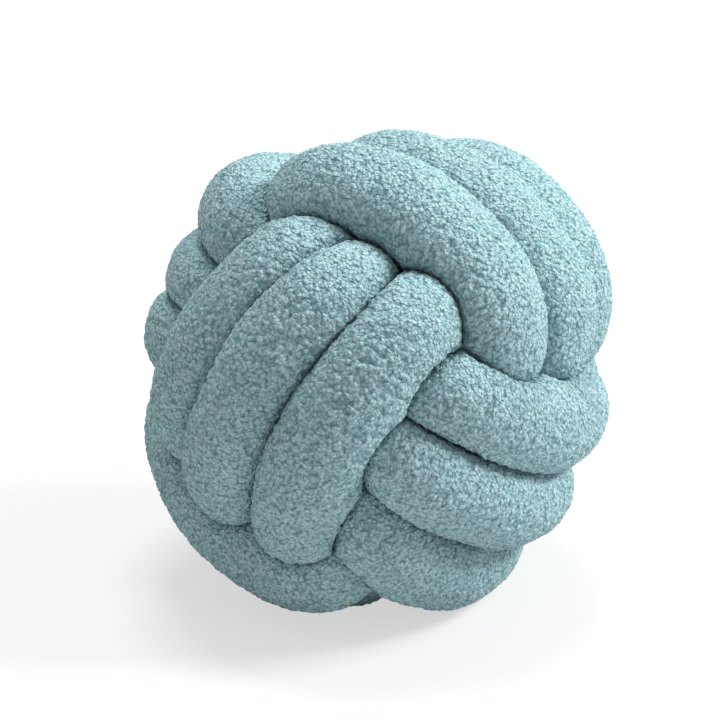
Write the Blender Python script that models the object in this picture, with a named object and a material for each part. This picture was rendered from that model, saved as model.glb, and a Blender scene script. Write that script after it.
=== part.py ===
"""Knot cushion: one long stuffed boucle tube, wound and knotted into a ball.

The knot is a three-strand monkey's fist. It has three bands of three turns, square to one another:

    band     shows on           dives inside under
    first    front and back     top and base
    second   top and base       right and left
    third    right and left     front and back

The whole ball is one tube. Its centreline is worked out turn by turn, and its cross-section is round
where it is free and flat where it presses on its neighbours, on itself or on the floor.
The ball leans as it lies on the floor, so "top" and the other face names are the knot's own.

Metres, Z up, the floor at Z = 0, and the origin on the floor under the middle of the ball's box.
"""

import math
from collections import namedtuple

import bpy
import numpy as np

# Ball and tube
CENTRELINE_RADIUS = 0.107     # middle of the ball to the middle of a strand that shows
TUBE_RADIUS = 0.0325          # the stuffed tube where nothing presses on it
SPREAD_RADIUS = 0.042         # half width that a squeezed, hidden pass may spread to
SPREAD_BELOW = 0.45           # how far out a pass is when it starts to spread (1 shows, 0 is hidden)
WAIST = 0.20                  # share by which the tube is drawn in where it dives
WAIST_SPREAD = 3.0            # higher draws it in sooner, and evenly over the dive
SETTLE = 0.1280               # height of the ball's middle once its lowest strands lie flat

# How the knot lies: its top axis leans, and the knot is turned about that axis
LEAN = 35.0                   # degrees from upright
LEAN_HEADING = -5.0           # degrees from +X, seen from above
TURN_ABOUT_AXIS = 40.0        # degrees

# Hidden passes, as fractions of CENTRELINE_RADIUS
HIDDEN_DEPTH = 0.42           # distance from the middle of the ball
HIDDEN_PITCH = 0.21           # spacing of the three strands
ENTRY_DEPTH = 0.30            # depth at which a new band starts
ENTRY_OFFSET = 0.25           # and how far to the side
CROSSING_SHARES = ((0, -0.5), (1, -0.25), (-1, 0.25))   # spacings moved across, by step of the turn

# Softness of the pressed shape
GAP_SHOWING = 0.0024          # air left between pressed strands on the outside
GAP_HIDDEN = 0.0052           # and inside the ball
PRESS_SHARPNESS = 8.0         # higher gives flatter contacts with sharper edges
FOLD_ROOM = 0.65              # share of the bend's radius that the inner side may fill
NEIGHBOUR_RANGE = 2.4         # in tube radii: nothing farther off than this presses
LEAST_REACH = 0.002           # the tube is never pinched below this
OWN_LENGTH = 0.075            # along this length the tube can't press on itself
END_ROUNDING = 0.030          # length over which a sewn end is gathered round

# Mesh
SIDES = 12
RING_SPACING = 0.0245         # on a straight stretch
RING_TURN = math.radians(25)  # on a bend
CURVE_STEPS = 12              # points per span of the centreline
SAMPLE_SPACING = 0.004        # centreline points that stand for the neighbours

# A strand on its face. Latitudes are degrees off the face's middle line, at the start, middle and end
# of the pass. Dives are the angles at which it goes under, and lifts raise or sink its two halves.
Strand = namedtuple("Strand", "lat_in lat_mid lat_out dive_in dive_out lift_in lift_out")

STRANDS = {
    "front": (Strand(-14, -14, -13, 44, 30, 0.98, 0.94),
              Strand(9, 6, 4, 48, 31, 1.00, 0.97),
              Strand(34, 31, 26, 49, 45, 1.03, 0.99)),
    "back": (Strand(-30, -27, -26, 38, 38, 1.00, 0.99),
             Strand(-3, -1, 2, 40, 38, 1.01, 1.01),
             Strand(27, 27, 29, 35, 40, 0.94, 1.00)),
    "top": (Strand(-27, -26, -40, 40, 28, 1.17, 1.02),
            Strand(6, -1, -10, 42, 36, 1.00, 1.02),
            Strand(38, 28, 17, 42, 40, 1.04, 1.04)),
    "base": (Strand(-27, -27, -27, 38, 38, 1.03, 1.03),
             Strand(-2, -2, -2, 38, 38, 1.03, 1.03),
             Strand(22, 24, 24, 47, 30, 1.12, 1.04)),
    "right": (Strand(-25, -27, -21, 42, 30, 1.09, 1.01),
              Strand(-1, 1, 4, 38, 38, 0.98, 0.98),
              Strand(27, 26, 26, 38, 38, 0.98, 0.98)),
    "left": (Strand(-28, -28, -28, 38, 38, 1.01, 1.00),
             Strand(-9, -9, -9, 38, 38, 0.98, 0.98),
             Strand(14, 14, 14, 38, 38, 1.06, 1.06)),
}
LATITUDE_SPAN = 40.0          # degrees either side of the middle at which lat_in and lat_out hold
LATITUDE_LIMIT = 1.25         # in spans: past this the latitude stays as it is

# Steps of a half pass. Outside: share of the dive angle. Diving: degrees past it, radius, how far out.
# Inside: degrees from the middle of the face, radius.
OUTSIDE_STEPS = (0.0, 0.3, 0.6, 0.9)
DIVING_STEPS = ((6.0, 0.92, 0.85), (11.0, 0.76, 0.60), (18.0, 0.59, 0.30))
INSIDE_STEPS = ((72.0, 0.45), (90.0, HIDDEN_DEPTH))

# Cloth
CLOTH_COLOUR = "8fb5b8"       # pale dusty teal boucle
CLOTH_ROUGHNESS = 0.95


def knot_axes():
    """Unit vectors through the front, top and right faces of the leaning knot."""
    lean = math.radians(LEAN)
    heading = math.radians(LEAN_HEADING)
    turn = math.radians(TURN_ABOUT_AXIS)
    top = np.array([math.sin(lean) * math.cos(heading), math.sin(lean) * math.sin(heading), math.cos(lean)])
    downhill = np.array([math.cos(lean) * math.cos(heading), math.cos(lean) * math.sin(heading),
                         -math.sin(lean)])
    across = np.cross(top, downhill)
    front = -math.cos(turn) * across - math.sin(turn) * downhill
    right = np.cross(top, front)
    return front, top, right


def latitude(strand, angle):
    """Latitude in degrees at an angle from the middle of the pass: a parabola through the three given."""
    share = max(-LATITUDE_LIMIT, min(LATITUDE_LIMIT, angle / LATITUDE_SPAN))
    slope = (strand.lat_out - strand.lat_in) / 2
    bow = (strand.lat_in + strand.lat_out) / 2 - strand.lat_mid
    return strand.lat_mid + slope * share + bow * share ** 2


def half_pass(strand, side):
    """Steps (angle, radius, how far out) from the middle of a face to the middle of the hidden pass."""
    dive = strand.dive_out if side > 0 else strand.dive_in
    end_lift = strand.lift_out if side > 0 else strand.lift_in
    mid_lift = (strand.lift_in + strand.lift_out) / 2
    steps = [(share * dive, mid_lift + (end_lift - mid_lift) * share, 1.0) for share in OUTSIDE_STEPS]
    steps += [(dive + past, radius * end_lift, out) for past, radius, out in DIVING_STEPS]
    steps += [(angle, radius, 0.0) for angle, radius in INSIDE_STEPS]
    return [(side * angle, radius, out) for angle, radius, out in steps]


def turn_controls(faces, place):
    """One whole turn as (out, along, across) in the band's own axes, from one hidden pass round to it.

    place is -1, 0 or 1: which of the band's three strands this turn is. A turn starts and ends in the
    hidden pass where the tube crosses over from one strand to the next. The first turn of a band comes
    in there from the band before, closer to the middle of the ball.
    """
    controls = []
    for middle, face in ((180, faces[1]), (360, faces[0])):
        strand = STRANDS[face][place + 1]
        steps = half_pass(strand, -1)[:0:-1] + half_pass(strand, 1)[:-1]
        for angle, radius, out in steps:
            lat = math.radians(latitude(strand, angle))
            reach = radius * CENTRELINE_RADIUS
            outward = out * reach * math.cos(lat) + (1 - out) * reach
            across = out * reach * math.sin(lat) + (1 - out) * HIDDEN_PITCH * CENTRELINE_RADIUS * place
            heading = math.radians(middle + angle)
            controls.append([outward * math.cos(heading), outward * math.sin(heading), across, out])
    for step, share in CROSSING_SHARES:
        controls[step][2] += share * HIDDEN_PITCH * CENTRELINE_RADIUS
    if place == -1:
        controls[0][1] = ENTRY_DEPTH * CENTRELINE_RADIUS
        controls[0][2] = -ENTRY_OFFSET * CENTRELINE_RADIUS
    return controls


def tube_controls():
    """Control points of the whole centreline, and how far out each lies (1 shows, 0 is hidden)."""
    front, top, right = knot_axes()
    bands = (((front, top, right), ("front", "back")),
             ((top, right, front), ("top", "base")),
             ((right, front, top), ("right", "left")))
    points = []
    outs = []
    for axes, faces in bands:
        for place in (-1, 0, 1):
            for x, y, z, out in turn_controls(faces, place):
                points.append(x * axes[0] + y * axes[1] + z * axes[2])
                outs.append(out)
    return np.array(points), np.array(outs)


def smooth_curve(controls):
    """Uniform cubic B-spline through a row of control values, with its ends kept."""
    padded = np.vstack([2 * controls[0] - controls[1], controls, 2 * controls[-1] - controls[-2]])
    t = np.linspace(0, 1, CURVE_STEPS, endpoint=False)[:, None]
    weights = ((1 - t) ** 3, 3 * t ** 3 - 6 * t ** 2 + 4, -3 * t ** 3 + 3 * t ** 2 + 3 * t + 1, t ** 3)
    spans = [sum(w * padded[i + k] for k, w in enumerate(weights)) / 6 for i in range(len(padded) - 3)]
    return np.vstack(spans + [controls[-1:]])


def lengths_along(points):
    steps = np.linalg.norm(np.diff(points, axis=0), axis=1)
    return np.concatenate([[0.0], np.cumsum(steps)])


def pick(values, at, wanted):
    """Each column of values, interpolated from the places at to the places wanted."""
    return np.stack([np.interp(wanted, at, column) for column in values.T], axis=1)


def tangents_and_bends(points, lengths):
    tangents = np.gradient(points, axis=0)
    tangents /= np.linalg.norm(tangents, axis=1)[:, None]
    bends = np.gradient(tangents, axis=0) / np.gradient(lengths)[:, None]
    return tangents, bends


def carried_frames(tangents):
    """Two directions square to the tube at each ring, carried along it without twisting."""
    sides = np.zeros_like(tangents)
    seed = np.cross(tangents[0], [0.0, 0.0, 1.0])
    sides[0] = seed / np.linalg.norm(seed)
    for i in range(1, len(tangents)):
        carried = sides[i - 1] - (sides[i - 1] @ tangents[i]) * tangents[i]
        sides[i] = carried / np.linalg.norm(carried)
    return sides, np.cross(tangents, sides)


def free_radius(out):
    """Radius of the tube where nothing presses on it: drawn in where it dives, and spread inside the ball."""
    drawn_in = TUBE_RADIUS * (1 - WAIST * max(0.0, 1 - abs(2 * out - 1) ** WAIST_SPREAD))
    return drawn_in + (SPREAD_RADIUS - TUBE_RADIUS) * max(0.0, 1 - out / SPREAD_BELOW)


def pressed_reach(point, length, spokes, bend, out, samples, sample_lengths):
    """How far the cloth reaches along each spoke of one ring, which lies out far out (1 shows, 0 is hidden).

    It reaches its round radius where it is free, half way to a neighbour where it is pressed, and part of
    the way round its own bend. The smallest of these wins, with the corners between them rounded off.
    """
    round_radius = free_radius(out)
    gap = GAP_HIDDEN + (GAP_SHOWING - GAP_HIDDEN) * out
    offsets = samples - point
    distances = np.linalg.norm(offsets, axis=1)
    near = (distances < NEIGHBOUR_RANGE * round_radius) & (np.abs(sample_lengths - length) > OWN_LENGTH)
    towards = np.maximum(spokes @ offsets[near].T, 1e-6)
    to_neighbour = (distances[near] ** 2 / (2 * towards)).min(axis=1, initial=1.0) - gap / 2
    to_fold = FOLD_ROOM / np.maximum(spokes @ bend, 1e-3)
    limits = (round_radius, to_neighbour, to_fold)
    total = sum(np.maximum(limit, LEAST_REACH) ** -PRESS_SHARPNESS for limit in limits)
    return total ** (-1 / PRESS_SHARPNESS)


def ring_places(lengths, bends):
    """Places along the tube for its rings, closer together where it bends."""
    density = 1 / RING_SPACING + np.linalg.norm(bends, axis=1) / RING_TURN
    steps = (density[1:] + density[:-1]) / 2 * np.diff(lengths)
    count = np.concatenate([[0.0], np.cumsum(steps)])
    rings = int(round(count[-1]))
    return np.interp(np.linspace(0, count[-1], rings + 1), count, lengths)


def end_share(place, total):
    """1 along the tube, falling to 0 at its two gathered ends."""
    from_end = min(place, total - place) / END_ROUNDING
    return math.sqrt(1 - (1 - min(1.0, from_end)) ** 2)


def tube_mesh():
    """Vertices and faces of the knotted tube, with a single point at each end."""
    controls, outs = tube_controls()
    curve = smooth_curve(controls)
    out_along = smooth_curve(outs[:, None])
    curve_lengths = lengths_along(curve)
    total = curve_lengths[-1]

    sample_lengths = np.linspace(0, total, int(total / SAMPLE_SPACING))
    samples = pick(curve, curve_lengths, sample_lengths)
    tangents, bends = tangents_and_bends(samples, sample_lengths)

    places = ring_places(sample_lengths, bends)
    centres = pick(samples, sample_lengths, places)
    ring_tangents = pick(tangents, sample_lengths, places)
    ring_tangents /= np.linalg.norm(ring_tangents, axis=1)[:, None]
    ring_bends = pick(bends, sample_lengths, places)
    ring_outs = pick(out_along, curve_lengths, places)[:, 0]
    first_side, second_side = carried_frames(ring_tangents)

    around = np.linspace(0, 2 * math.pi, SIDES, endpoint=False)
    vertices = [centres[0]]
    for i in range(1, len(places) - 1):
        spokes = np.outer(np.cos(around), first_side[i]) + np.outer(np.sin(around), second_side[i])
        reach = pressed_reach(centres[i], places[i], spokes, ring_bends[i], ring_outs[i],
                              samples, sample_lengths)
        reach *= end_share(places[i], total)
        vertices.extend(centres[i] + reach[:, None] * spokes)
    vertices.append(centres[-1])
    return np.array(vertices), tube_faces(len(places) - 2)


def tube_faces(rings):
    """Triangles at both ends and quads between, wound to face outwards."""
    last = 1 + rings * SIDES
    faces = []
    for side in range(SIDES):
        beside = (side + 1) % SIDES
        faces.append((0, 1 + beside, 1 + side))
        for ring in range(rings - 1):
            here = 1 + ring * SIDES
            ahead = here + SIDES
            faces.append((here + side, here + beside, ahead + beside, ahead + side))
        faces.append((last, last - SIDES + side, last - SIDES + beside))
    return faces


def settle_on_floor(vertices):
    """Lower the ball until its lowest strands press flat on the floor, and centre it on the origin."""
    settled = vertices + np.array([0.0, 0.0, SETTLE])
    settled[:, 2] = np.maximum(settled[:, 2], 0.0)
    middle = (settled[:, :2].min(axis=0) + settled[:, :2].max(axis=0)) / 2
    settled[:, :2] -= middle
    return settled


def cloth_material():
    material = bpy.data.materials.new("boucle_cloth")
    material.use_nodes = True
    shader = material.node_tree.nodes["Principled BSDF"]
    channels = [int(CLOTH_COLOUR[i:i + 2], 16) / 255 for i in (0, 2, 4)]
    linear = [c / 12.92 if c <= 0.04045 else ((c + 0.055) / 1.055) ** 2.4 for c in channels]
    shader.inputs["Base Color"].default_value = (*linear, 1.0)
    shader.inputs["Roughness"].default_value = CLOTH_ROUGHNESS
    shader.inputs["Metallic"].default_value = 0.0
    return material


def build():
    for item in list(bpy.data.objects):
        bpy.data.objects.remove(item, do_unlink=True)
    vertices, faces = tube_mesh()
    mesh = bpy.data.meshes.new("knotted_tube")
    mesh.from_pydata(settle_on_floor(vertices).tolist(), [], faces)
    mesh.shade_smooth()
    mesh.materials.append(cloth_material())
    tube = bpy.data.objects.new("knotted_tube", mesh)
    bpy.context.scene.collection.objects.link(tube)


build()
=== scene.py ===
"""Looks of the knot cushion: one stuffed tube of boucle cloth, wound and knotted into a ball.

The tube follows the same centreline as the solid. Here its surface is fine enough to carry the curls of
the pile, and it is made in nine lengths, one for each turn of the knot, which meet inside the ball.

Metres, Z up, the floor at Z = 0.
"""

import math
from collections import namedtuple

import bpy
import numpy as np
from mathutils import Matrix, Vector, noise


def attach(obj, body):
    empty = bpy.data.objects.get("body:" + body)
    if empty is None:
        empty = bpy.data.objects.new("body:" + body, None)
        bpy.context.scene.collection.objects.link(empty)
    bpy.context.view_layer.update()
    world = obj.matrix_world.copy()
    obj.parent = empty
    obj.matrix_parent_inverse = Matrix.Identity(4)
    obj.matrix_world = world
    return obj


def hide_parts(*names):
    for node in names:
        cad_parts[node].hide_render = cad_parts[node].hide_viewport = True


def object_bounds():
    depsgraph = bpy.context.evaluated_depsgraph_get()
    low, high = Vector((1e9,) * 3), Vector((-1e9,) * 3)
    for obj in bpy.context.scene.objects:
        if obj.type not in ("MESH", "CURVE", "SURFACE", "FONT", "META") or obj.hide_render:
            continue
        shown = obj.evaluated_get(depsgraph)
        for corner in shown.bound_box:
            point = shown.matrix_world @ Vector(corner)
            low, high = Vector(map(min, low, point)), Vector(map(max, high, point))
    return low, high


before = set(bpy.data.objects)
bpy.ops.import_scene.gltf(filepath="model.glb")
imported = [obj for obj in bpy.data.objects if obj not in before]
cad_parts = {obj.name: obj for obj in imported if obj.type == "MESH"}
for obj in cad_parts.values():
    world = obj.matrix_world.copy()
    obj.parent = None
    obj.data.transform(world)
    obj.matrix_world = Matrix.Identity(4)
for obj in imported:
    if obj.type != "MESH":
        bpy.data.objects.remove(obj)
cad_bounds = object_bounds()
CAD_NODE = "knotted_tube"

MM = 0.001

# Ball and tube, as in the solid
CENTRELINE_RADIUS = 0.107     # middle of the ball to the middle of a strand that shows
TUBE_RADIUS = 0.0325          # the stuffed tube where nothing presses on it
SPREAD_RADIUS = 0.042         # half width that a squeezed, hidden pass may spread to
SPREAD_BELOW = 0.45           # how far out a pass is when it starts to spread (1 shows, 0 is hidden)
WAIST = 0.20                  # share by which the tube is drawn in where it dives
WAIST_SPREAD = 3.0            # higher draws it in sooner, and evenly over the dive
SETTLE = 0.1280               # height of the ball's middle once its lowest strands lie flat
LEAN = 35.0                   # degrees from upright
LEAN_HEADING = -5.0           # degrees from +X, seen from above
TURN_ABOUT_AXIS = 40.0        # degrees

# Hidden passes, as fractions of CENTRELINE_RADIUS
HIDDEN_DEPTH = 0.42           # ball's middle to a hidden pass
HIDDEN_PITCH = 0.21           # one hidden pass to the next
ENTRY_DEPTH = 0.30            # where a band starts, nearer the middle than its other passes
ENTRY_OFFSET = 0.25           # and how far to the side
# Where the tube crosses to the next turn: (control point of the turn, share of the pitch it moves)
CROSSING_SHARES = ((0, -0.5), (1, -0.25), (-1, 0.25))

# A strand on its face: degrees off the face's middle line at the start, middle and end of the pass,
# the angles at which it goes under, and how far its two halves are raised or sunk.
Strand = namedtuple("Strand", "lat_in lat_mid lat_out dive_in dive_out lift_in lift_out")
STRANDS = {
    "front": (Strand(-14, -14, -13, 44, 30, 0.98, 0.94),
              Strand(9, 6, 4, 48, 31, 1.00, 0.97),
              Strand(34, 31, 26, 49, 45, 1.03, 0.99)),
    "back": (Strand(-30, -27, -26, 38, 38, 1.00, 0.99),
             Strand(-3, -1, 2, 40, 38, 1.01, 1.01),
             Strand(27, 27, 29, 35, 40, 0.94, 1.00)),
    "top": (Strand(-27, -26, -40, 40, 28, 1.17, 1.02),
            Strand(6, -1, -10, 42, 36, 1.00, 1.02),
            Strand(38, 28, 17, 42, 40, 1.04, 1.04)),
    "base": (Strand(-27, -27, -27, 38, 38, 1.03, 1.03),
             Strand(-2, -2, -2, 38, 38, 1.03, 1.03),
             Strand(22, 24, 24, 47, 30, 1.12, 1.04)),
    "right": (Strand(-25, -27, -21, 42, 30, 1.09, 1.01),
              Strand(-1, 1, 4, 38, 38, 0.98, 0.98),
              Strand(27, 26, 26, 38, 38, 0.98, 0.98)),
    "left": (Strand(-28, -28, -28, 38, 38, 1.01, 1.00),
             Strand(-9, -9, -9, 38, 38, 0.98, 0.98),
             Strand(14, 14, 14, 38, 38, 1.06, 1.06)),
}
LATITUDE_SPAN = 40.0          # degrees from the middle of a pass to where lat_in and lat_out are given
LATITUDE_LIMIT = 1.25         # the parabola of latitudes runs on to this share of the span
# Control points of a half pass: shares of the way to the dive, then (degrees past it, radius, how far out),
# then (degrees from the middle, radius)
OUTSIDE_STEPS = (0.0, 0.3, 0.6, 0.9)
DIVING_STEPS = ((6.0, 0.92, 0.85), (11.0, 0.76, 0.60), (18.0, 0.59, 0.30))
INSIDE_STEPS = ((72.0, 0.45), (90.0, HIDDEN_DEPTH))
CURVE_STEPS = 12              # points of the centreline from one control point to the next

# Softness of the pressed shape. The gap lies between the backs of two strands, and their pile fills it.
GAP_SHOWING = 0.5 * MM
GAP_HIDDEN = 5.2 * MM
PRESS_SHARPNESS = 9.5         # higher makes the corners of the pressed section sharper
FOLD_ROOM = 0.65              # share of its own bend's radius that the cloth may reach
NEIGHBOUR_RANGE = 2.4         # tube radii within which a neighbour presses
LEAST_REACH = 2 * MM
NEVER_ZERO = 1e-6             # stands in for a divisor that is smaller or negative
OWN_LENGTH = 75 * MM          # the tube nearer than this along its own length isn't a neighbour
END_ROUNDING = 30 * MM
SAMPLE_SPACING = 4 * MM

# Fineness of the surface: (how far out from, spacing of the rings, points round a ring)
FINENESS = ((0.35, 0.84 * MM, 96),
            (0.12, 2.5 * MM, 48),
            (-1.0, 6.0 * MM, 24))
CROWDING = 0.52               # draws a ring's points to the side that shows

# Curled pile, which stands on the surface of the solid
CURL_WIDTH = 3.0 * MM         # from one curl to the next
CURL_HEIGHT = 1.6 * MM        # from the pits between curls to their tops
CURL_WARP = 0.8 * MM          # how far a curl wanders
WANDER_SEED = 7               # makes every run of the script wander alike
CURL_REACH = 0.75             # crown of a curl to the pits round it, as a share of its width
CURL_ROUNDNESS = 1.6          # 1 makes pointed curls, and higher makes them flatter on top
CLUMP_WIDTH = 9.0 * MM        # curls lie in loose clumps
CLUMP_HEIGHT = 0.6 * MM
STUFFING_WIDTH = 45 * MM      # soft lumps of the fibre filling
STUFFING_HEIGHT = 1.6 * MM
PRESSED_FROM = 3.0 * MM       # pressed in by more than this, the pile starts to lie flat
PRESSED_DEPTH = 6.0 * MM      # and over this further depth it flattens
PRESSED_PILE = 0.85           # share of its height that flattened pile keeps

CLOTH = "b8d4d8"              # pale dusty teal, on the crowns of the loops
CLOTH_PAINTED_PIT_SHADE = "729ba2"      # painted shade in the pits of the pile, where less light gets in
LOOP_WIDTH = 2.1 * MM         # loops of yarn on the curls, drawn by the shader
LOOP_HEIGHT = 1.8 * MM
LOOP_WARP = 0.7 * MM          # how far a loop wanders either way
LOOP_WANDER = 3.15 * MM       # length over which the loops wander once
LOOP_ROUNDNESS = 2.0          # as for the curls
LOOP_PITS = 0.85              # depth below a loop's crown, as a share of its height, where its painted shade is darkest
LOOP_CROWN = 0.05             # and where its painted shade ends
CURL_FLANK = 0.5              # height on a curl above which its loops get no painted shade from the curl
PIT_PAINTED_LIGHTNESS = 0.5           # painted shade: lightness left to the loops in the pits between curls
FIBRE_WIDTH = 0.9 * MM        # and the fibres on the loops
FIBRE_HEIGHT = 0.6 * MM

# Light: azimuth in degrees from +X, elevation, distance from the ball, size and watts
Lamp = namedtuple("Lamp", "name azimuth elevation distance size watts")
LAMPS = (Lamp("key", 0, 38, 3.0, 1.0, 100),
         Lamp("overhead", 100, 75, 3.0, 1.2, 64))
WHITE = (1.0, 1.0, 1.0, 1.0)
ROOM_LIGHT = 0.48             # radiance of the white room
FLOOR_LIT = "dedede"          # what the floor throws back on the cushion
FLOOR_SEEN = "989898"         # and the part of the floor's own look that takes shadows
FLOOR_GLOW = 0.60             # keeps the photograph's floor white, and lights nothing
FLOOR_HALF = 30.0             # the floor runs this far each way

# The photograph: 720 x 720, with the ball's middle at this pixel
FRAME_PX = 720
BALL_PX = (377, 368)
PX_PER_M = 1720               # at the ball's middle
CAMERA_ELEVATION = 22.0       # degrees
CAMERA_DISTANCE = 1.6         # from the ball's middle
SENSOR_WIDTH = 36.0           # millimetres


def knot_axes():
    """Unit vectors through the front, top and right faces of the leaning knot."""
    lean = math.radians(LEAN)
    heading = math.radians(LEAN_HEADING)
    turn = math.radians(TURN_ABOUT_AXIS)
    top = np.array([math.sin(lean) * math.cos(heading), math.sin(lean) * math.sin(heading), math.cos(lean)])
    downhill = np.array([math.cos(lean) * math.cos(heading), math.cos(lean) * math.sin(heading),
                         -math.sin(lean)])
    across = np.cross(top, downhill)
    front = -math.cos(turn) * across - math.sin(turn) * downhill
    right = np.cross(top, front)
    return front, top, right


def latitude(strand, angle):
    """Latitude in degrees at an angle from the middle of the pass: a parabola through the three given."""
    share = max(-LATITUDE_LIMIT, min(LATITUDE_LIMIT, angle / LATITUDE_SPAN))
    slope = (strand.lat_out - strand.lat_in) / 2
    bow = (strand.lat_in + strand.lat_out) / 2 - strand.lat_mid
    return strand.lat_mid + slope * share + bow * share ** 2


def half_pass(strand, side):
    """Steps (angle, radius, how far out) from the middle of a face to the middle of the hidden pass."""
    dive = strand.dive_out if side > 0 else strand.dive_in
    end_lift = strand.lift_out if side > 0 else strand.lift_in
    mid_lift = (strand.lift_in + strand.lift_out) / 2
    steps = [(share * dive, mid_lift + (end_lift - mid_lift) * share, 1.0) for share in OUTSIDE_STEPS]
    steps += [(dive + past, radius * end_lift, out) for past, radius, out in DIVING_STEPS]
    steps += [(angle, radius, 0.0) for angle, radius in INSIDE_STEPS]
    return [(side * angle, radius, out) for angle, radius, out in steps]


def turn_controls(faces, place):
    """One whole turn as (out, along, across) in the band's own axes, from one hidden pass round to it."""
    controls = []
    for middle, face in ((180, faces[1]), (360, faces[0])):
        strand = STRANDS[face][place + 1]
        steps = half_pass(strand, -1)[:0:-1] + half_pass(strand, 1)[:-1]
        for angle, radius, out in steps:
            lat = math.radians(latitude(strand, angle))
            reach = radius * CENTRELINE_RADIUS
            outward = out * reach * math.cos(lat) + (1 - out) * reach
            across = out * reach * math.sin(lat) + (1 - out) * HIDDEN_PITCH * CENTRELINE_RADIUS * place
            heading = math.radians(middle + angle)
            controls.append([outward * math.cos(heading), outward * math.sin(heading), across, out])
    for step, share in CROSSING_SHARES:
        controls[step][2] += share * HIDDEN_PITCH * CENTRELINE_RADIUS
    if place == -1:
        controls[0][1] = ENTRY_DEPTH * CENTRELINE_RADIUS
        controls[0][2] = -ENTRY_OFFSET * CENTRELINE_RADIUS
    return controls


def tube_controls():
    """Control points of the centreline, how far out each lies, and the place where each turn starts."""
    front, top, right = knot_axes()
    bands = (((front, top, right), ("front", "back")),
             ((top, right, front), ("top", "base")),
             ((right, front, top), ("right", "left")))
    points = []
    outs = []
    starts = []
    for axes, faces in bands:
        for place in (-1, 0, 1):
            starts.append(len(points))
            for x, y, z, out in turn_controls(faces, place):
                points.append(x * axes[0] + y * axes[1] + z * axes[2])
                outs.append(out)
    return np.array(points), np.array(outs), starts


def smooth_curve(controls):
    """Uniform cubic B-spline that follows a row of control values, with its ends kept."""
    padded = np.vstack([2 * controls[0] - controls[1], controls, 2 * controls[-1] - controls[-2]])
    t = np.linspace(0, 1, CURVE_STEPS, endpoint=False)[:, None]
    weights = ((1 - t) ** 3, 3 * t ** 3 - 6 * t ** 2 + 4, -3 * t ** 3 + 3 * t ** 2 + 3 * t + 1, t ** 3)
    spans = [sum(w * padded[i + k] for k, w in enumerate(weights)) / 6 for i in range(len(padded) - 3)]
    return np.vstack(spans + [controls[-1:]])


def lengths_along(points):
    steps = np.linalg.norm(np.diff(points, axis=0), axis=1)
    return np.concatenate([[0.0], np.cumsum(steps)])


def pick(values, at, wanted):
    """Each column of values, interpolated from the places at to the places wanted."""
    return np.stack([np.interp(wanted, at, column) for column in values.T], axis=1)


def unit(vectors):
    return vectors / np.linalg.norm(vectors, axis=1)[:, None]


class Centreline:
    """The middle of the tube, evenly sampled, with its direction, its bend and how far out it lies."""

    def __init__(self):
        controls, outs, starts = tube_controls()
        curve = smooth_curve(controls)
        curve_lengths = lengths_along(curve)
        self.total = curve_lengths[-1]
        self.lengths = np.linspace(0, self.total, int(self.total / SAMPLE_SPACING))
        self.points = pick(curve, curve_lengths, self.lengths)
        self.tangents = unit(np.gradient(self.points, axis=0))
        self.bends = np.gradient(self.tangents, axis=0) / np.gradient(self.lengths)[:, None]
        self.outs = pick(smooth_curve(outs[:, None]), curve_lengths, self.lengths)[:, 0]
        turn_starts = [curve_lengths[start * CURVE_STEPS] for start in starts]
        self.turns = list(zip(turn_starts, turn_starts[1:] + [self.total]))


def ring_plan(line, start, end):
    """Places along one turn for its rings, and the number of points round each."""
    places = []
    sides = []
    place = start
    while place < end:
        out = np.interp(place, line.lengths, line.outs)
        spacing, points_round = next((gap, count) for least, gap, count in FINENESS if out > least)
        places.append(place)
        sides.append(points_round)
        place += spacing
    return np.array(places), sides


def ring_angles(count):
    """Angles round a ring from the side that faces out of the ball, closer together on that side."""
    even = np.linspace(0, 2 * math.pi, count, endpoint=False)
    return even - CROWDING * np.sin(even)


def free_radius(out):
    """Radius of the tube where nothing presses on it: drawn in where it dives, and spread inside the ball."""
    drawn_in = TUBE_RADIUS * (1 - WAIST * max(0.0, 1 - abs(2 * out - 1) ** WAIST_SPREAD))
    return drawn_in + (SPREAD_RADIUS - TUBE_RADIUS) * max(0.0, 1 - out / SPREAD_BELOW)


def pressed_reach(point, length, spokes, bend, out, line):
    """How far the cloth reaches along each spoke of one ring, and how far it is pressed in.

    It reaches its round radius where it is free, half way to a neighbour where it is pressed, and part of
    the way round its own bend. The smallest of these wins, with the corners between them rounded off.
    """
    round_radius = free_radius(out)
    gap = GAP_HIDDEN + (GAP_SHOWING - GAP_HIDDEN) * out
    offsets = line.points - point
    distances = np.linalg.norm(offsets, axis=1)
    near = (distances < NEIGHBOUR_RANGE * round_radius) & (np.abs(line.lengths - length) > OWN_LENGTH)
    towards = np.maximum(spokes @ offsets[near].T, NEVER_ZERO)
    to_neighbour = (distances[near] ** 2 / (2 * towards)).min(axis=1, initial=1.0) - gap / 2
    to_fold = FOLD_ROOM / np.maximum(spokes @ bend, NEVER_ZERO)
    limits = (round_radius, to_neighbour, to_fold)
    total = sum(np.maximum(limit, LEAST_REACH) ** -PRESS_SHARPNESS for limit in limits)
    return total ** (-1 / PRESS_SHARPNESS), round_radius - np.maximum(to_neighbour, 0)


def end_share(place, total):
    """1 along the tube, falling to 0 at its two gathered ends."""
    from_end = min(place, total - place) / END_ROUNDING
    return math.sqrt(1 - (1 - min(1.0, from_end)) ** 2)


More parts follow.
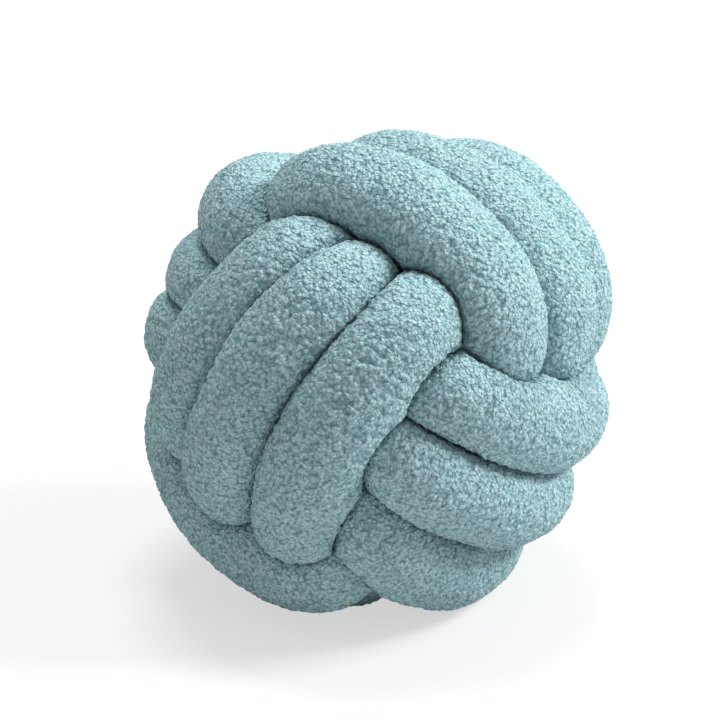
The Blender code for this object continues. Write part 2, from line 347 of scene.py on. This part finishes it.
def ring_faces(first, first_count, second, second_count):
    """Faces between two rings, the first's points numbered from first and the second's from second.

    The counts are the same, or one is twice the other.
    """
    faces = []
    if first_count == second_count:
        for k in range(first_count):
            beside = (k + 1) % first_count
            faces.append((first + k, first + beside, second + beside, second + k))
        return faces
    fine, coarse = (first, second) if first_count > second_count else (second, first)
    coarse_count = min(first_count, second_count)
    for k in range(coarse_count):
        beside = (k + 1) % coarse_count
        ends = (fine + 2 * k, fine + 2 * k + 1, fine + 2 * beside)
        trio = [(ends[0], ends[1], coarse + k), (ends[1], ends[2], coarse + beside),
                (ends[1], coarse + beside, coarse + k)]
        faces += trio if fine == first else [face[::-1] for face in trio]
    return faces


def turn_surface(line, start, end):
    """Points and faces of one turn of the tube, closed at both ends, and how far each point is pressed in."""
    places, sides = ring_plan(line, start, end)
    centres = pick(line.points, line.lengths, places)
    tangents = unit(pick(line.tangents, line.lengths, places))
    bends = pick(line.bends, line.lengths, places)
    outs = np.interp(places, line.lengths, line.outs)
    outward = unit(centres - (centres * tangents).sum(axis=1)[:, None] * tangents)
    sideways = np.cross(tangents, outward)

    points = [centres[:1]]
    pressed = [np.ones(1)]
    faces = []
    first = 1
    for i, count in enumerate(sides):
        angles = ring_angles(count)
        spokes = np.outer(np.cos(angles), outward[i]) + np.outer(np.sin(angles), sideways[i])
        reach, pressed_in = pressed_reach(centres[i], places[i], spokes, bends[i], outs[i], line)
        reach *= end_share(places[i], line.total)
        points.append(centres[i] + reach[:, None] * spokes)
        pressed.append(pressed_in)
        if i == 0:
            faces += [(0, first + (k + 1) % count, first + k) for k in range(count)]
        else:
            faces += ring_faces(first - sides[i - 1], sides[i - 1], first, count)
        first += count
    last_ring = first - sides[-1]
    faces += [(first, last_ring + k, last_ring + (k + 1) % sides[-1]) for k in range(sides[-1])]
    points.append(centres[-1:])
    pressed.append(np.ones(1))
    return np.vstack(points), faces, np.concatenate(pressed)


def curl_height(point):
    """Height of the pile at a point, from 0 in the deepest pits between curls to 1 on a curl's crown."""
    wander = noise.noise_vector(point / CURL_WIDTH) * CURL_WARP
    from_crown = noise.voronoi((point + wander) / CURL_WIDTH)[0][0]
    return max(0.0, 1 - (from_crown / CURL_REACH) ** CURL_ROUNDNESS)


def piece_mesh(name, points, faces):
    mesh = bpy.data.meshes.new(name)
    mesh.from_pydata(points.tolist(), [], faces)
    mesh.shade_smooth()
    return mesh


def raise_pile(mesh, pressed_in):
    """Moves the points of a smooth surface out and in by the height of the curled pile there."""
    count = len(mesh.vertices)
    points = np.empty(count * 3)
    normals = np.empty(count * 3)
    mesh.vertices.foreach_get("co", points)
    mesh.vertices.foreach_get("normal", normals)
    points = points.reshape(-1, 3)
    normals = normals.reshape(-1, 3)

    places = [Vector(p) for p in points.tolist()]
    curls = np.array([curl_height(p) for p in places])
    clumps = np.array([noise.noise(p / CLUMP_WIDTH) for p in places])
    lumps = np.array([noise.noise(p / STUFFING_WIDTH) for p in places])
    flattened = np.clip((pressed_in - PRESSED_FROM) / PRESSED_DEPTH, 0, 1)
    standing = 1 - (1 - PRESSED_PILE) * flattened
    height = standing * (CURL_HEIGHT * curls + CLUMP_HEIGHT * clumps) + STUFFING_HEIGHT * lumps
    points += height[:, None] * normals
    points[:, 2] = np.maximum(points[:, 2], 0)
    mesh.vertices.foreach_set("co", points.ravel())
    # The curls' height is kept as the mask of the painted shade in the pits between them
    shade = mesh.attributes.new("curl", "FLOAT", "POINT")
    shade.data.foreach_set("value", curls * standing)
    mesh.update()


def linear(hex_colour):
    """sRGB hex to the linear colour that a shader socket takes."""
    channels = [int(hex_colour[i:i + 2], 16) / 255 for i in (0, 2, 4)]
    return (*(c / 12.92 if c <= 0.04045 else ((c + 0.055) / 1.055) ** 2.4 for c in channels), 1.0)


def add_node(tree, kind, inputs=(), **settings):
    """Adds a node. Each input is (socket, value), or (socket, another node's output) to link them."""
    node = tree.nodes.new(kind)
    for setting, value in settings.items():
        setattr(node, setting, value)
    for socket, value in inputs:
        if isinstance(value, bpy.types.NodeSocket):
            tree.links.new(value, node.inputs[socket])
        else:
            node.inputs[socket].default_value = value
    return node


def boucle_cloth():
    """Polyester boucle: a knitted back with curled, looped pile.

    Matt and soft, a little bright at grazing angles, and with painted shade that makes it darker in the pits
    of the pile than on its crowns.
    """
    material = bpy.data.materials.new("boucle_cloth")
    material.use_nodes = True
    tree = material.node_tree
    tree.nodes.clear()
    place = add_node(tree, "ShaderNodeTexCoord")
    wander = add_node(tree, "ShaderNodeTexNoise",
                      [("Vector", place.outputs["Object"]), ("Scale", 1 / LOOP_WANDER), ("Detail", 1.0)])
    # The noise runs from 0 to 1, so it moves a loop by twice the warp at most
    warped = add_node(tree, "ShaderNodeVectorMath",
                      [(0, wander.outputs["Color"]), (1, (2 * LOOP_WARP,) * 3), (2, place.outputs["Object"])],
                      operation="MULTIPLY_ADD")
    loops = add_node(tree, "ShaderNodeTexVoronoi",
                     [("Vector", warped.outputs["Vector"]), ("Scale", 1 / LOOP_WIDTH)])
    fibres = add_node(tree, "ShaderNodeTexVoronoi",
                      [("Vector", warped.outputs["Vector"]), ("Scale", 1 / FIBRE_WIDTH)])
    rounded = add_node(tree, "ShaderNodeMath", [(0, loops.outputs["Distance"]), (1, LOOP_ROUNDNESS)],
                       operation="POWER")
    depth = add_node(tree, "ShaderNodeMath",
                     [(0, fibres.outputs["Distance"]), (1, FIBRE_HEIGHT / LOOP_HEIGHT),
                      (2, rounded.outputs["Value"])],
                     operation="MULTIPLY_ADD")
    bump = add_node(tree, "ShaderNodeBump",
                    [("Height", depth.outputs["Value"]), ("Strength", 1.0), ("Distance", LOOP_HEIGHT)],
                    invert=True)
    # Painted shade: the cloth's colour darkens towards the pits between loops and between curls, where shade
    # falls
    painted_shade_in_loops = add_node(tree, "ShaderNodeMapRange",
                       [("Value", depth.outputs["Value"]), ("From Min", LOOP_PITS), ("From Max", LOOP_CROWN)])
    curl = add_node(tree, "ShaderNodeAttribute", attribute_name="curl")
    painted_shade_between_curls = add_node(tree, "ShaderNodeMapRange",
                       [("Value", curl.outputs["Fac"]), ("From Min", 0.0), ("From Max", CURL_FLANK),
                        ("To Min", PIT_PAINTED_LIGHTNESS)])
    lightness = add_node(tree, "ShaderNodeMath",
                         [(0, painted_shade_in_loops.outputs["Result"]), (1, painted_shade_between_curls.outputs["Result"])],
                         operation="MULTIPLY")
    colour = add_node(tree, "ShaderNodeMix",
                      [("Factor", lightness.outputs["Value"]), ("A", linear(CLOTH_PAINTED_PIT_SHADE)),
                       ("B", linear(CLOTH))],
                      data_type="RGBA")
    shader = add_node(tree, "ShaderNodeBsdfPrincipled",
                      [("Base Color", colour.outputs["Result"]), ("Normal", bump.outputs["Normal"]),
                       ("Roughness", 0.92), ("IOR", 1.55), ("Specular IOR Level", 0.1),
                       ("Sheen Weight", 0.1), ("Sheen Roughness", 0.5), ("Sheen Tint", linear("dff2f4"))])
    add_node(tree, "ShaderNodeOutputMaterial", [("Surface", shader.outputs["BSDF"])])
    return material


def make_cushion():
    """The nine turns of the tube, each riding on the ball."""
    noise.seed_set(WANDER_SEED)
    line = Centreline()
    surfaces = [turn_surface(line, start, end) for start, end in line.turns]
    every_point = np.vstack([points for points, faces, pressed in surfaces])
    middle = (every_point.min(axis=0) + every_point.max(axis=0)) / 2
    box_middle = (np.array(cad_bounds[0]) + np.array(cad_bounds[1])) / 2
    shift = np.array([box_middle[0] - middle[0], box_middle[1] - middle[1], SETTLE])

    cloth = boucle_cloth()
    names = [f"{band}_turn_{turn}" for band in ("front", "top", "side") for turn in (1, 2, 3)]
    for name, (points, faces, pressed_in) in zip(names, surfaces):
        settled = points + shift
        settled[:, 2] = np.maximum(settled[:, 2], 0)
        mesh = piece_mesh(name, settled, faces)
        raise_pile(mesh, pressed_in)
        mesh.materials.append(cloth)
        piece = bpy.data.objects.new(name, mesh)
        bpy.context.scene.collection.objects.link(piece)
        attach(piece, "root")
        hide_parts(CAD_NODE)
    return Vector((shift[0], shift[1], SETTLE))


def make_camera(ball):
    data = bpy.data.cameras.new("camera")
    data.sensor_width = SENSOR_WIDTH
    data.lens = PX_PER_M * CAMERA_DISTANCE / FRAME_PX * SENSOR_WIDTH
    data.shift_x = (FRAME_PX / 2 - BALL_PX[0]) / FRAME_PX
    data.shift_y = (BALL_PX[1] - FRAME_PX / 2) / FRAME_PX
    camera = bpy.data.objects.new("camera", data)
    elevation = math.radians(CAMERA_ELEVATION)
    away = Vector((0, -math.cos(elevation), math.sin(elevation)))
    camera.location = ball + CAMERA_DISTANCE * away
    camera.rotation_euler = (-away).to_track_quat("-Z", "Y").to_euler()
    bpy.context.scene.collection.objects.link(camera)
    bpy.context.scene.camera = camera


def make_lamp(lamp, ball):
    data = bpy.data.lights.new(lamp.name, "AREA")
    data.shape = "DISK"
    data.size = lamp.size
    data.energy = lamp.watts
    azimuth = math.radians(lamp.azimuth)
    elevation = math.radians(lamp.elevation)
    towards = Vector((math.cos(azimuth) * math.cos(elevation), math.sin(azimuth) * math.cos(elevation),
                      math.sin(elevation)))
    light = bpy.data.objects.new(lamp.name, data)
    light.location = ball + lamp.distance * towards
    light.rotation_euler = (-towards).to_track_quat("-Z", "Y").to_euler()
    bpy.context.scene.collection.objects.link(light)


def make_room():
    """Soft, even light from a white room, which the camera sees as plain white."""
    world = bpy.data.worlds.new("studio")
    world.use_nodes = True
    tree = world.node_tree
    tree.nodes.clear()
    lit = add_node(tree, "ShaderNodeBackground", [("Color", WHITE), ("Strength", ROOM_LIGHT)])
    white = add_node(tree, "ShaderNodeBackground", [("Color", WHITE), ("Strength", 1.0)])
    ray = add_node(tree, "ShaderNodeLightPath")
    shown = add_node(tree, "ShaderNodeMixShader",
                     [(0, ray.outputs["Is Camera Ray"]), (1, lit.outputs["Background"]),
                      (2, white.outputs["Background"])])
    add_node(tree, "ShaderNodeOutputWorld", [("Surface", shown.outputs["Shader"])])
    bpy.context.scene.world = world


def make_floor():
    """Matt white paper, which lights the cushion as it is and shows the camera a paler shadow."""
    material = bpy.data.materials.new("matt_white_paper")
    material.use_nodes = True
    tree = material.node_tree
    tree.nodes.clear()
    lit = add_node(tree, "ShaderNodeBsdfPrincipled",
                   [("Base Color", linear(FLOOR_LIT)), ("Roughness", 1.0), ("Specular IOR Level", 0.0)])
    seen = add_node(tree, "ShaderNodeBsdfPrincipled",
                    [("Base Color", linear(FLOOR_SEEN)), ("Roughness", 1.0), ("Specular IOR Level", 0.0),
                     ("Emission Color", WHITE), ("Emission Strength", FLOOR_GLOW)])
    ray = add_node(tree, "ShaderNodeLightPath")
    shown = add_node(tree, "ShaderNodeMixShader",
                     [(0, ray.outputs["Is Camera Ray"]), (1, lit.outputs["BSDF"]), (2, seen.outputs["BSDF"])])
    add_node(tree, "ShaderNodeOutputMaterial", [("Surface", shown.outputs["Shader"])])
    corners = [(x * FLOOR_HALF, y * FLOOR_HALF, 0) for x, y in ((-1, -1), (1, -1), (1, 1), (-1, 1))]
    mesh = bpy.data.meshes.new("floor")
    mesh.from_pydata(corners, [], [(0, 1, 2, 3)])
    mesh.materials.append(material)
    floor = bpy.data.objects.new("floor", mesh)
    bpy.context.scene.collection.objects.link(floor)


ball = make_cushion()
make_camera(ball)
make_floor()
make_room()
for lamp in LAMPS:
    make_lamp(lamp, ball)
bpy.context.scene.view_settings.view_transform = "Standard"
